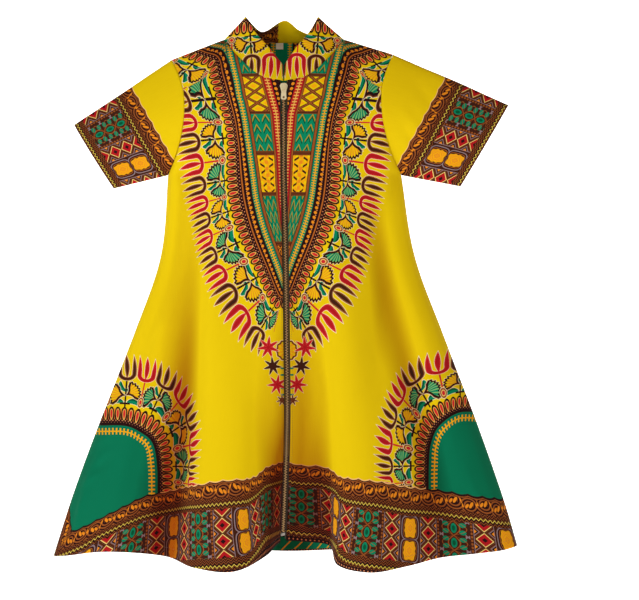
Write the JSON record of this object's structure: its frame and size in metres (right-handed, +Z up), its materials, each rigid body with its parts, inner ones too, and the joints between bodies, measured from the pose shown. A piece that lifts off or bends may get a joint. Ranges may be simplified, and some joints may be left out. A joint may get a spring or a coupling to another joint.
{
  "type": "short-sleeved a-line dashiki dress",
  "caption": "Short-sleeved A-line dress with a standing collar, a full-length front zip and a fluted hem, hanging open and hollow.",
  "frame": {"origin": "middle of the neck opening at the height of the shoulder neck points, on the plane of the shoulder and side seams", "axes": "+Z up, -Y out of the front, +X to the right of someone looking at the front"},
  "size_m": [0.7984, 0.2483, 0.9366],
  "materials": {
    "printed_cotton": "plain-woven waxed cotton with a slight sheen, yellow with a printed border and neck drop",
    "collar_cotton": "the same printed cotton, stiffened",
    "zip_tape": "matt woven tape",
    "zip_chain": "antique brass teeth",
    "zip_stop": "dull metal",
    "zip_slider": "pale polished brass",
    "label_tape": "white woven tape, bare"
  },
  "bodies": {
    "garment": {"front_left": "printed_cotton", "front_right": "printed_cotton", "back": "printed_cotton", "sleeve_left": "printed_cotton", "sleeve_right": "printed_cotton", "collar": "collar_cotton", "zip_tape_left": "zip_tape", "zip_tape_right": "zip_tape", "zip_chain": "zip_chain", "zip_bottom_stop": "zip_stop", "zip_slider": "zip_slider", "size_label": "label_tape"},
    "pull_tab": {"zip_pull": "zip_slider"}
  },
  "joints": [
    {"name": "pull_tab_swing", "type": "hinge", "parent": "garment", "child": "pull_tab", "pos_m": [0, -0.0618, -0.089], "axis": [-1, 0, 0], "range_deg": [0, 150]}
  ]
}
